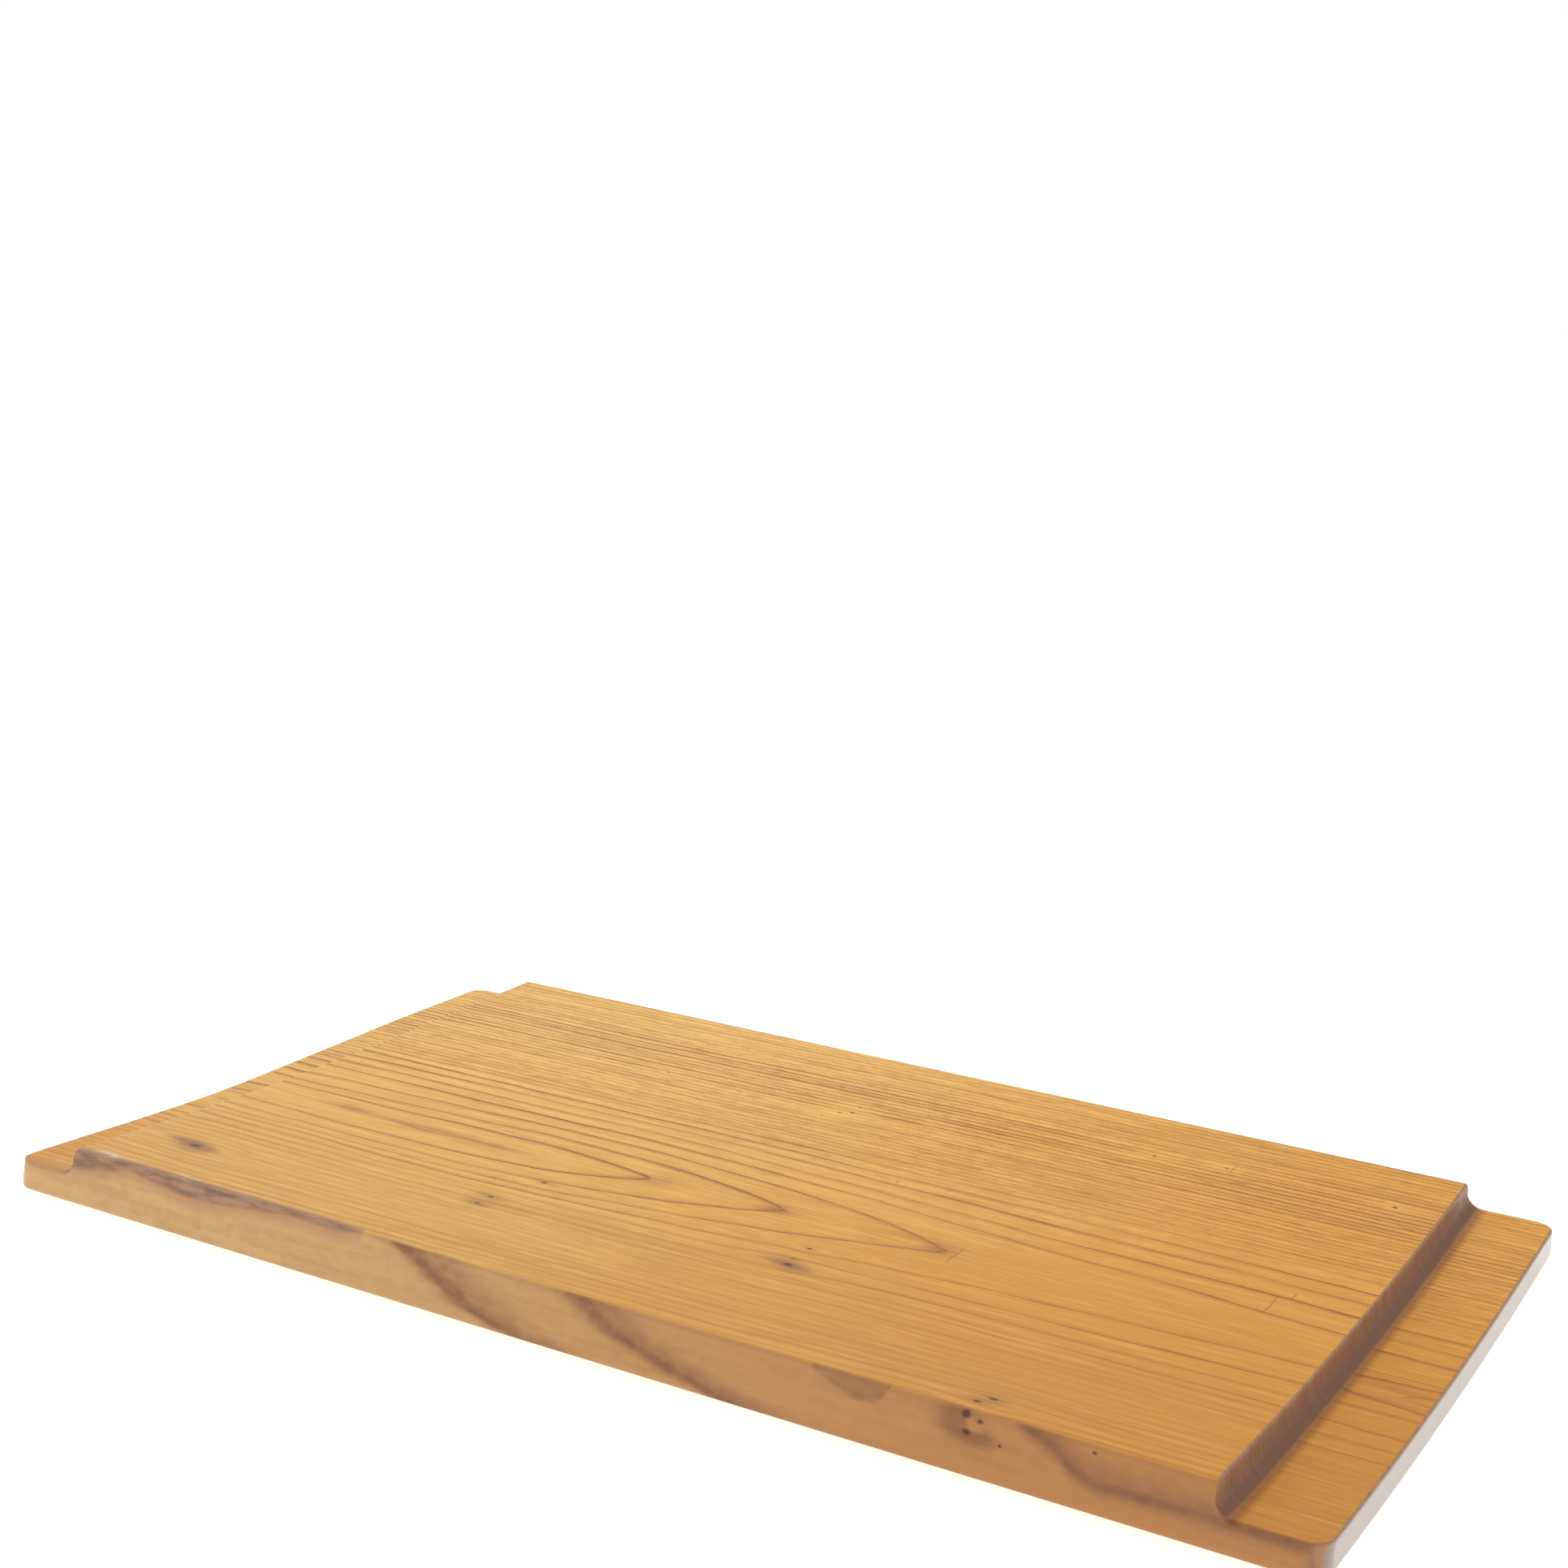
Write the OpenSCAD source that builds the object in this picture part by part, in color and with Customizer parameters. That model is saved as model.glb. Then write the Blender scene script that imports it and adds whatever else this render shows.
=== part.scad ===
// Serving tray cut from one plank, resting upside down: the raised base faces up,
// the two handles reach out at the ends, and the serving recess faces the table.
// X runs along the grain, Y across it, Z up. The origin is the middle of the
// underside, the lowest point of the cupped board.

/* [Board] */
// Length over both handles, along the grain
tray_length = 452; // [360:1:600]
// Width across the grain, at the serving rim
tray_width = 250; // [200:1:330]
// Thickness from the serving rim to the base
board_thickness = 18; // [16:0.5:26]
// Rise of the long edges above the middle, because the plank has cupped
cup_rise = 3.7; // [1:0.1:7]
// How far each long side leans in over the board's thickness
side_lean = 3.2; // [0:0.1:6]
// Radius of the four corners, seen from above
corner_radius = 7; // [2:0.5:20]
// Ease cut along both long edges of the base
long_edge_ease = 1.6; // [0.4:0.1:3]
// Ease cut along both long edges of the serving rim
rim_edge_ease = 0.8; // [0.2:0.1:1.5]

/* [Handles] */
// How far each handle reaches beyond the base
handle_reach = 29.5; // [20:0.5:60]
// Thickness of each handle
handle_thickness = 9.5; // [7:0.5:13]
// Radius of the finger cove between base and handle
cove_radius = 5.5; // [2:0.5:8]
// Rounding of the base's two end edges
base_end_round = 0.9; // [0.3:0.1:2]
// Rounding of each handle's outer edge
handle_end_round = 1.2; // [0.3:0.1:3]

/* [Serving recess] */
// Depth of the recess
recess_depth = 9; // [4:0.5:11]
// Width of the rim along the long sides
side_rim = 16; // [10:0.5:40]
// Width of the wall between the recess and the end of the base
end_wall = 14; // [8:0.5:40]
// Radius of the recess corners, seen from above
recess_corner_radius = 18; // [6:1:40]
// Radius between the recess floor and its walls
floor_fillet = 4; // [1:0.5:4]

/* [Hidden] */
arc_steps = 64;
bend_steps = 1440;
// How far a cutting or clipping shape runs past the surface that it meets
overshoot = 6;
// How far a plan outline stands off the faces that it rounds into each other
outline_gap = 0.05;
base_length = tray_length - 2 * handle_reach;
recess_length = base_length - 2 * end_wall;
recess_width = tray_width - 2 * side_rim;
// The cove can't be taller than the step that it is cut into
cove = min(cove_radius, board_thickness - handle_thickness - base_end_round);
// Radius of the cupped underside, from its chord and its rise
bend_radius = (pow(tray_width / 2, 2) + pow(cup_rise, 2)) / (2 * cup_rise);
bend_angle = 2 * asin((tray_width / 2 + overshoot) / (bend_radius - board_thickness));
// Height of the cupped surface that lies level above the underside, at distance y from the middle
function cupped(level, y) = bend_radius - sqrt(pow(bend_radius - level, 2) - y * y);

// Rectangle with corners of one radius, centred along x and standing on y = low
module rounded_rectangle(length, low, high, radius) {
    for (side = [-1, 1], top = [0, 1])
        translate([side * (length / 2 - radius), top ? high - radius : low + radius])
            circle(r = radius, $fn = arc_steps);
    translate([-length / 2, low + radius]) square([length, high - low - 2 * radius]);
    translate([-length / 2 + radius, low]) square([length - 2 * radius, high - low]);
}

// Sweeps a lengthwise profile, drawn in x and z, across the board along its cupped curve
module sweep_across() {
    translate([0, 0, bend_radius]) rotate([0, 90, 0]) rotate([0, 0, -bend_angle / 2])
        rotate_extrude(angle = bend_angle, $fn = bend_steps)
            translate([bend_radius, 0]) rotate(90) children();
}

// Runs a cross-section, drawn in y and z, along the whole board
module run_along() {
    translate([-tray_length / 2 - overshoot, 0, 0]) rotate([90, 0, 90])
        linear_extrude(height = tray_length + 2 * overshoot) children();
}

// Stands a round-cornered plan outline up through the whole board
module stand_up(length, width, radius) {
    half = width / 2 + outline_gap;
    translate([0, 0, -overshoot])
        linear_extrude(height = cupped(board_thickness, tray_width / 2) + 2 * overshoot)
            rounded_rectangle(length + 2 * outline_gap, -half, half, radius);
}

// Base and handles seen from the long side, with a finger cove at each end of the base
module lengthwise_profile() {
    rounded_rectangle(tray_length, 0, handle_thickness, handle_end_round);
    rounded_rectangle(base_length, handle_thickness / 2, board_thickness, base_end_round);
    for (end = [0, 1]) mirror([end, 0]) translate([base_length / 2, handle_thickness])
        difference() {
            translate([-base_end_round, -base_end_round])
                square(cove + base_end_round);
            translate([cove, cove]) circle(r = cove, $fn = arc_steps);
        }
}

// Cross-section of the board's leaning sides and their eased long edges
module side_section() {
    half = tray_width / 2;
    rim_z = cup_rise;
    base_z = cupped(board_thickness, half - side_lean);
    right = [
        [half - rim_edge_ease - overshoot, rim_z - overshoot],
        [half, rim_z + rim_edge_ease],
        [half - side_lean, base_z - long_edge_ease],
        [half - side_lean - long_edge_ease - overshoot, base_z + overshoot]
    ];
    polygon(concat(right, [for (i = [3:-1:0]) [-right[i][0], right[i][1]]]));
}

// Shallow serving recess with a filleted floor, cut from the underside
module serving_recess() {
    floor_z = cupped(recess_depth, recess_width / 2);
    intersection() {
        sweep_across() rounded_rectangle(recess_length, -overshoot, recess_depth, floor_fillet);
        run_along() rounded_rectangle(recess_width, -overshoot, floor_z, floor_fillet);
        stand_up(recess_length, recess_width, recess_corner_radius);
    }
}

// The whole tray: one plank, with its handles, coves, base and recess cut into it
module tray_plank() {
    color("peru") difference() {
        intersection() {
            sweep_across() lengthwise_profile();
            run_along() side_section();
            stand_up(tray_length, tray_width, corner_radius);
        }
        serving_recess();
    }
}

tray_plank();
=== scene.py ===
"""Serving tray carved from one plank, resting upside down, in the CAD frame (metres).

X runs along the grain, Y across it and Z up. The CAD gives the tray's box; this file
carves the finished surface, its grain and its lacquer, and sets the stage.
"""

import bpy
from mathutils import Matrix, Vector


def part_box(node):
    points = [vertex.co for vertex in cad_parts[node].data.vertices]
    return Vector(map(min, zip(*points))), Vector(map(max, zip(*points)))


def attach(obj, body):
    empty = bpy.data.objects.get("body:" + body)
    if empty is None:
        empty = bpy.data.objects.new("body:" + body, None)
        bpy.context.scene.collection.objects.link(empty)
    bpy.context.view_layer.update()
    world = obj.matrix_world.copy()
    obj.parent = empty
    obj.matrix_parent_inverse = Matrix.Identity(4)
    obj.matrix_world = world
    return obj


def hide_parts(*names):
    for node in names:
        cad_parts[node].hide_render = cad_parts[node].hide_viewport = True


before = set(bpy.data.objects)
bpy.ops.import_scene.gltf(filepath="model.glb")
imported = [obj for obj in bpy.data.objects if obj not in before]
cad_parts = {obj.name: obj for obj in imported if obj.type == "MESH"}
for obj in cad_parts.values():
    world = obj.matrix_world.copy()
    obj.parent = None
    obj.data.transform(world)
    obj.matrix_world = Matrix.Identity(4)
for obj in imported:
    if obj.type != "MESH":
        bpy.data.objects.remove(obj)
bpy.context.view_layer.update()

import math

import bmesh
import bpy
import numpy as np
from bpy.props import FloatProperty, FloatVectorProperty, PointerProperty
from mathutils import Matrix, Vector

bl_info = {
    "name": "Plank serving tray",
    "version": (1, 0, 0),
    "blender": (4, 5, 0),
    "location": "View3D > Sidebar > Tray",
    "description": "Carves a serving tray from one plank and sets its stage",
    "category": "Object",
}

LOW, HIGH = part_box("tray_plank")
MM = 0.001


def length(name, default, about):
    """A length in metres that the user can change."""
    return FloatProperty(
        name=name, description=about, default=default, min=0, unit="LENGTH", precision=4
    )


def colour(name, default, about):
    """A colour of the finish that the user can change."""
    return FloatVectorProperty(
        name=name, description=about, default=default, size=3, min=0, max=1, subtype="COLOR"
    )


def share(name, default, about, high=1.0):
    """A plain number of the finish or the light that the user can change."""
    return FloatProperty(
        name=name, description=about, default=default, min=0, max=high, subtype="FACTOR"
    )


def angle(name, default, about):
    """An angle in radians that the user can change."""
    return FloatProperty(name=name, description=about, default=default, subtype="ANGLE")


def spot(name, default, about):
    """A place in metres that the user can change."""
    return FloatVectorProperty(
        name=name, description=about, default=default, size=3, subtype="TRANSLATION", unit="LENGTH"
    )


class TraySizes(bpy.types.PropertyGroup):
    """Sizes of the carved plank, in metres."""

    tray_length: length("Length", HIGH.x - LOW.x, "Length over both handles")
    tray_width: length("Width", HIGH.y - LOW.y, "Width across the grain, at the serving rim")
    full_height: length("Height", HIGH.z - LOW.z, "From the table to the highest long edge")
    board_thickness: length("Board thickness", 0.018, "From the serving rim to the base")
    cup_rise: length("Cup", 0.0037, "Rise of the long edges above the middle")
    side_lean: length("Side lean", 0.0032, "How far each long side leans in")
    corner_radius: length("Corner radius", 0.007, "Radius of the four corners")
    long_edge_round: length("Long edge round", 0.0019, "Rounding of the base's long edges")
    handle_reach: length("Handle reach", 0.0295, "How far each handle reaches beyond the base")
    handle_thickness: length("Handle thickness", 0.0095, "Thickness of each handle")
    cove_radius: length("Cove radius", 0.0055, "Radius of the finger cove")
    base_end_round: length("Base end round", 0.0009, "Rounding of the base's end edges")
    handle_end_round: length("Handle end round", 0.0012, "Rounding of each handle's outer edge")
    recess_depth: length("Recess depth", 0.009, "Depth of the serving recess")
    side_rim: length("Side rim", 0.016, "Width of the rim along the long sides")
    end_wall: length("End wall", 0.014, "Wall between the recess and the end of the base")
    recess_corner: length("Recess corner", 0.018, "Radius of the recess corners")
    floor_fillet: length("Floor fillet", 0.004, "Radius between the recess floor and its walls")
    plane_marks: length("Plane marks", 0.00007, "Depth of the waves that the hand plane left")


class LacquerFinish(bpy.types.PropertyGroup):
    """Colours and gloss of the lacquered wood."""

    # Pale and warm wood: the flat faces run from pale at the left to warm at the right. This is
    # partly the wood's own tone and partly painted sheen, the bluish haze of the light from the
    # far left.
    pale_wood: colour("Pale wood", (0.81, 0.485, 0.125), "Early wood on the bleached side")
    warm_wood: colour("Warm wood", (0.70, 0.335, 0.040), "Early wood on the darker side")
    growth_line: colour("Growth line", (0.29, 0.092, 0.010), "Late wood of the growth lines")
    side_wood: colour("Side wood", (0.51, 0.310, 0.135), "Wood of the long sides")
    ruddy_wood: colour("Ruddy side wood", (0.39, 0.178, 0.062), "Long sides towards the right")
    side_line: colour("Side line", (0.17, 0.075, 0.042), "Growth lines on the long sides")
    end_wood: colour("End grain", (0.320, 0.165, 0.088), "End grain, dark with lacquer")
    knot_wood: colour("Knot", (0.075, 0.028, 0.016), "Heart of the pin knots")
    knot_stain: colour("Knot stain", (0.260, 0.105, 0.030), "Stain round the flat faces' knots")
    halo_wood: colour("Side stain", (0.205, 0.085, 0.042), "Stain of the sides' knots and bands")
    wane_wood: colour("Wane", (0.33, 0.195, 0.125), "Bark-side wood left under the long edge")
    # Chips: pale worn specks on the near arris, and also the painted highlight along the left
    # end's arris.
    chip_and_highlight_wood: colour("Chips", (0.85, 0.80, 0.70), "Worn specks on the arris")
    pale_fibre: colour("Pale fibre", (0.86, 0.54, 0.13), "Pale streaks between the fibres")
    speck_glow: colour("Speck glow", (0.82, 0.47, 0.10), "Pale wood round the dark specks")
    # Painted shade: the coves darken towards their bottom, where little light reaches.
    leaf_wood: colour("Leaf", (0.22, 0.105, 0.045), "Leaf-shaped figure on the near long side")
    cove_shade_wood: colour("Cove", (0.125, 0.045, 0.022), "Dark bottom of the coves")
    shaded_wood: colour("Beside the step", (0.19, 0.040, 0.008), "Handle's wood beside the step")
    bruised_wood: colour("Below the wane", (0.31, 0.135, 0.085), "Darker wood round the wane")
    # Painted sheen: the handles' outer end grain is painted pale grey for the glare of its
    # lacquer, and it also gets a thicker real coat.
    outer_end_sheen: colour("Handle end", (0.25, 0.205, 0.145), "Bleached ends of the handles")
    # Painted shade: multiplied into the flat faces from the far edge to the middle, so that the
    # near half is darker where the light from the far left falls off.
    near_half_shade_tint: colour("Aged tint", (0.82, 0.74, 0.54), "Fades in from the far edge to the middle")
    # Painted shade: a grey darkening multiplied in along the near long edge, where the light from
    # the far left falls off.
    near_edge_shade_tint: colour("Near tint", (0.93, 0.91, 0.92), "Multiplied in along the near long edge")
    # Painted shade: multiplied in on the right handle, darker and more orange, where the light
    # from the far left falls off to the right.
    handle_shade_tint: colour("Handle tint", (0.90, 0.85, 0.60), "Multiplied in on the right handle")
    corner_tint: colour("Corner tint", (0.98, 0.82, 0.55), "Multiplied in on the near left corner")
    coat: share("Coat", 0.06, "Weight of the lacquer coat")
    coat_roughness: share("Coat roughness", 0.20, "Roughness of the lacquer coat")


class StageSettings(bpy.types.PropertyGroup):
    """Floor, light and camera."""

    floor_colour: colour("Floor", (0.70, 0.70, 0.70), "Plain pale floor")
    floor_glow: share("Floor glow", 0.80, "Light that comes up through the floor", 2.0)
    sky: share("Sky", 1.03, "Strength of the white surroundings", 4.0)
    softbox: share("Softbox", 7.0, "Power of the softbox, in watts", 100.0)
    softbox_place: spot("Softbox place", (-0.9, 0.7, 1.4), "Where it hangs, facing the tray")
    lens: FloatProperty(
        name="Lens", description="Focal length in millimetres", default=54.3, min=10
    )
    heading: angle("Heading", 0.5186, "Camera's heading, from +Y towards -X")
    pitch: angle("Pitch", 0.2088, "How far the camera looks down")
    roll: angle("Roll", 0.0363, "How far the camera is turned about its own view")
    camera_place: spot("Camera place", (0.3652, -0.6476, 0.3091), "Where the camera stands")


# ---------------------------------------------------------------- shape of the plank


def cupped(level, y, s):
    """Height of a cupped level surface: arcs of circles about one line along x, which lies a
    bend radius above the underside's middle. Each arc's radius is the bend radius less its
    level."""
    half = s.tray_width / 2
    bend = (half**2 + s.cup_rise**2) / (2 * s.cup_rise)
    return bend - np.sqrt((bend - level) ** 2 - y**2)


def level_of(y, z, s):
    """Level of a point above the cupped underside: the bend radius less its distance from the
    line about which the plank is bent."""
    half = s.tray_width / 2
    bend = (half**2 + s.cup_rise**2) / (2 * s.cup_rise)
    return bend - np.hypot(bend - z, y)


def side_y(z, s):
    """Half width of the leaning long side at height z: a straight line from rim to base."""
    return s.tray_width / 2 - s.side_lean * (z - s.cup_rise) / (s.full_height - s.cup_rise)


def straight(a, b, steps):
    """Points after a, evenly spaced on the straight line to b."""
    t = np.linspace(0, 1, steps + 1)[1:, None]
    return np.array(a) * (1 - t) + np.array(b) * t


def bent(centre, radius, start, stop, steps):
    """Points after the start angle, evenly spaced on an arc to the stop angle, in degrees."""
    a = np.radians(np.linspace(start, stop, steps + 1)[1:])
    return np.array(centre) + radius * np.stack([np.cos(a), np.sin(a)], 1)


WAIST = 4.0 * MM  # level of the loop where the upper and the lower surface meet
ACROSS = 117  # places across the upper surface, and along each end of the waist
ARRIS_STEPS = 7  # places round each long arris
SIDE_STEPS = 8  # places down each long side
FAN_REACH = 0.011  # how far from a step its crowded columns spread out towards the waist


def lengthwise_path(s):
    """The board's upper outline seen from the long side, as x and level: flat base, rounded end,
    step down, cove, handle and rounded outer edge, mirrored to the other end."""
    end, base = s.tray_length / 2, s.tray_length / 2 - s.handle_reach
    top, low, r = s.board_thickness, s.handle_thickness, s.corner_radius
    e, g, c = s.base_end_round, s.handle_end_round, s.cove_radius
    turn = np.radians(np.linspace(0, math.degrees(math.asin((r - g) / r)), 7)[1:])
    half = np.concatenate([
        straight((0, top), (base - e, top), 88),
        bent((base - e, top - e), e, 90, 0, 6),
        straight((base, top - e), (base, low + c), 3),
        bent((base + c, low + c), c, 180, 270, 14),
        straight((base + c, low), (end - r, low), 9),
        np.stack([end - r + r * np.sin(turn), np.full(6, low)], 1),
        bent((end - g, low - g), g, 90, 0, 7),
        straight((end, low - g), (end, WAIST), 4),
    ])
    return np.concatenate([half[::-1] * (-1, 1), [(0, top)], half])


def around(lap, s):
    """Outline of a rounded corner by its lap, the length along it: straight in x as far as the
    corner, then round a quarter circle. Gives x, how much the corner takes off the half width,
    and the angle turned."""
    edge = s.tray_length / 2 - s.corner_radius
    turn = np.clip((np.abs(lap) - edge) / s.corner_radius, 0, math.pi / 2)
    x = np.minimum(np.abs(lap), edge) + s.corner_radius * np.sin(turn)
    return np.sign(lap) * x, s.corner_radius * (1 - np.cos(turn)), turn


def upper_surface(s):
    """Grid of stations along the upper outline by places across it. Across, y runs between the
    long edges on the cupped level; past them a quarter round turns down into the leaning side,
    whose columns fan out to even laps on the waist."""
    path = lengthwise_path(s)
    x, level = path[:, :1], path[:, 1:]
    edge = s.tray_length / 2 - s.corner_radius
    past = np.clip((np.abs(x) - edge) / s.corner_radius, 0, 1)
    lap = np.sign(x) * (np.minimum(np.abs(x), edge) + s.corner_radius * np.arcsin(past))
    cut, turn = around(lap, s)[1:]
    step = np.hypot(*np.diff(path, axis=0).T)
    run = np.concatenate([[0], np.cumsum(step)])
    run -= run[-1] / 2
    base = s.tray_length / 2 - s.handle_reach
    marks = np.array([base - FAN_REACH, base + FAN_REACH, edge])
    middle = len(path) // 2
    at = np.interp(marks, path[middle:, 0], run[middle:])
    far = edge + s.corner_radius * math.pi / 2
    waist_lap = np.interp(
        run,
        np.concatenate([[-run[-1]], -at[::-1], at, [run[-1]]]),
        np.concatenate([[-far], -marks[::-1], marks, [far]]),
    )[:, None]
    roundness = s.long_edge_round * np.cos(turn)
    y_edge = np.full_like(x, s.tray_width / 2)
    for _ in range(4):
        z_edge = cupped(level, y_edge, s) - roundness
        y_edge = side_y(z_edge, s) - cut
    y_top = y_edge - roundness
    across = y_top * np.linspace(1, -1, ACROSS)[None, 1:-1]
    sheet = np.stack(np.broadcast_arrays(x, across, cupped(level, across, s)), -1)
    a = np.radians(np.linspace(0, 90, ARRIS_STEPS))[None, :]
    y_round = y_top + roundness * np.sin(a)
    z_round = cupped(level, y_round, s) - roundness * (1 - np.cos(a))
    arris = np.stack(np.broadcast_arrays(x, y_round, z_round), -1)
    f = np.linspace(0, 1, SIDE_STEPS + 1)[None, 1:]
    waist_cut = around(waist_lap, s)[1]
    y_waist = np.full_like(x, s.tray_width / 2)
    for _ in range(4):
        z_waist = cupped(WAIST, y_waist, s)
        y_waist = side_y(z_waist, s) - waist_cut
    z = z_round[:, -1:] * (1 - f) + z_waist * f
    side_x, side_cut = around(lap * (1 - f) + waist_lap * f, s)[:2]
    side = np.stack([side_x, side_y(z, s) - side_cut, z], -1)
    flank = np.concatenate([arris, side], 1)
    grid = np.concatenate([flank[:, ::-1], sheet, flank * (1, -1, 1)], 1)
    return grid, waist_lap[:, 0]


def lower_loops(s):
    """Profile of the underside, from the waist inwards, as half length, half width, corner radius
    and level of each loop: outer edge, rim, recess edge, wall, fillet and floor. The last loop has
    no width, so the floor closes on a line."""
    g, k = 1.0 * MM, 0.8 * MM  # rounding of the rim's outer edge, and of the recess's edge
    end, r = s.tray_length / 2, s.corner_radius
    wide = side_y(s.cup_rise + g, s)
    deep, soft = s.recess_depth, s.floor_fillet
    rx = s.tray_length / 2 - s.handle_reach - s.end_wall
    ry, rr = s.tray_width / 2 - s.side_rim, s.recess_corner
    out = [(end, side_y(s.cup_rise + v, s), r, v) for v in (3 * MM, 2 * MM, 1.2 * MM)]
    for a in np.radians([18, 36, 54, 72, 90]):
        d = g * (1 - math.cos(a))
        out.append((end - d, wide - d, r - d, g * (1 - math.sin(a))))
    out += straight((end - g, wide - g, r - g, 0), (rx + k, ry + k, rr + k, 0), 8).tolist()
    for a in np.radians([22, 45, 67, 90]):
        d = k * (1 - math.sin(a))
        out.append((rx + d, ry + d, rr + d, k * (1 - math.cos(a))))
    out += straight((rx, ry, rr, k), (rx, ry, rr, deep - soft), 3).tolist()
    for a in np.radians([15, 30, 45, 60, 75, 90]):
        d = soft * (1 - math.cos(a))
        out.append((rx - d, ry - d, rr - d, deep - soft + soft * math.sin(a)))
    inner = (rx - soft, ry - soft, rr - soft, deep)
    out += straight(inner, (rx - ry, 0, 0, deep), 24).tolist()
    return np.array(out)


def lower_surface(waist_lap, ends, s):
    """Loops round the underside. A point of a loop is the inner box's corner or side, scaled by
    its place on the waist, plus the loop's corner radius times its outward direction."""
    edge = s.tray_length / 2 - s.corner_radius
    turn = np.sign(waist_lap) * around(waist_lap, s)[2]
    along = np.clip(waist_lap / edge, -1, 1)
    one, nil = np.ones_like(ends), np.zeros_like(ends)
    ux = np.concatenate([along, one, along[::-1], -one])
    uy = np.concatenate([np.ones_like(along), ends, -np.ones_like(along), ends[::-1]])
    nx = np.concatenate([np.sin(turn), one, np.sin(turn[::-1]), -one])
    ny = np.concatenate([np.cos(turn), nil, -np.cos(turn[::-1]), nil])
    hx, hy, r, level = lower_loops(s).T[:, :, None]
    x = ux * (hx - r) + r * nx
    y = uy * (hy - r) + r * ny
    return np.stack([x, y, cupped(level, y, s)], -1)


def quads(index):
    """Faces between neighbours of a grid of vertex numbers."""
    a, b, c, d = index[:-1, :-1], index[1:, :-1], index[1:, 1:], index[:-1, 1:]
    return np.stack([a, b, c, d], -1).reshape(-1, 4)


# y, and how far the left handle's end and the base's left end stand off square, in millimetres
OUT_OF_SQUARE = (
    (-125, -118, -100, -60, -30, 0, 40, 80, 110, 125),
    (1.5, 0.4, 0, 1.0, 1.8, 1.2, 0.7, 1.7, 4.4, 6.0),
    (-2.6, -2.6, -2.4, -1.3, -0.9, -0.5, 0.2, 1.2, 3.0, 4.0),
)
# x, y, size and depth of the chips in the arris, in millimetres
CHIPS = (
    (-192, -121, 2.2, 0.5), (-180, -121.5, 1.6, 0.4), (-158, -122, 1.8, 0.4),
    (-131, -122, 1.5, 0.3), (-112, -122, 1.8, 0.3), (190, -121.5, 1.4, 0.4),
)


def hand_planed(co, s):
    """Leaves the marks of hand work: a left end cut out of square, by curves over the width that
    fade out along the grain; long low waves, sums of sines, that only take wood off the upper
    faces; and chips, as Gauss dents in the arris."""
    x, y, z = co.T
    u, v = x * 1000, y * 1000
    handle = through(v, OUT_OF_SQUARE[0], OUT_OF_SQUARE[1])
    base = through(v, OUT_OF_SQUARE[0], OUT_OF_SQUARE[2])
    on_handle = rising(-u, 204, 14)
    at_left = rising(-u, 110, 80) ** 2
    x = x + (base + (handle - base) * on_handle) * at_left * MM
    wave = np.sin(u / 37 + np.sin(v / 29)) * np.sin(v / 23 + 0.8 * np.sin(u / 61))
    wave = wave + 0.5 * np.sin(v / 9 + u / 80)
    fade = rising(z - WAIST, 0.004, 0.004)
    dents = np.zeros_like(x)
    for px, py, size, deep in CHIPS:
        dents += deep * MM * np.exp(-((u - px) ** 2 + (v - py) ** 2) / size**2)
    z = z - s.plane_marks * fade * (1.5 + wave) / 2 - fade * dents
    return np.stack([np.clip(x, LOW.x, HIGH.x), y, np.maximum(z, LOW.z)], 1)


# ---------------------------------------------------------------- growth of the tree

AXIS = -26.0  # y of the middle of the arched figure, in millimetres
STATIONS = (-200, -100, 0, 100, 200)
# x, and the count of growth lines on the axis there
HEART = (
    (-240, -166, -124, -82, -35, 16, 74, 120, 190, 212, 240),
    (-0.6, -0.6, -0.7, -0.6, 0, 1, 2, 2.35, 2.3, 1.4, 0.6),
)
# How far each growth line lies from the axis at the stations, on the two sides
LINES_ABOVE = (
    (26, 28, 28, 21, 13), (33, 35, 35, 30, 28), (40, 42, 43, 40, 38),
    (47, 47, 49, 48, 46), (52, 53, 55, 56, 56),
)
LINES_BELOW = (
    (36, 37, 30, 18, 13), (40, 42, 37, 29, 26), (46, 46, 43, 37, 35), (50, 51, 48, 44, 43),
)
# x, y, size of the heart, size and strength of the stain of each pin knot, in millimetres
KNOTS = (
    (-172, -94, 1.7, 7.5, 1.1), (-60, -51, 0.9, 4.5, 0.5), (-66, -72, 0.8, 4.5, 0.65),
    (-66, -79, 0.8, 4.5, 0.65), (38, -48, 0.7, 3.5, 0.5), (39, -63, 1.4, 6.5, 1.0),
    (38, -58, 0.6, 3.0, 0.3), (130.5, -112, 1.0, 5.0, 0.7), (127.5, -116, 0.9, 5.0, 0.7),
)
# y, and how strongly the growth lines show there
LINE_VIGOUR = (
    (-125, -108, -100, -86, -74, -62, 28, 36, 58, 72, 92, 102, 125),
    (0.6, 0.5, 0.3, 0.3, 0.6, 0.95, 1.0, 0.7, 0.9, 1.25, 1.15, 0.8, 0.8),
)
# x, y, half length, half width and strength of the darker figures in the arches and on the handles
FIGURES = (
    (-157, -32.3, 10, 2.0, 1.0), (-124, -33.6, 20, 3.2, 1.1), (-96, -32.6, 14, 1.8, 0.9),
    (-31, -27, 6, 4, 0.7), (14, -26, 6, 4, 0.75), (72, -24, 6, 4, 0.8), (60, -20, 12, 1.5, 0.3),
    (215, -21.5, 9, 2.5, 0.6), (214, -30, 10, 2, 0.4), (-217, -34, 5, 2, 0.5),
    (-220, -42, 6, 1.6, 0.6),
)
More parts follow.
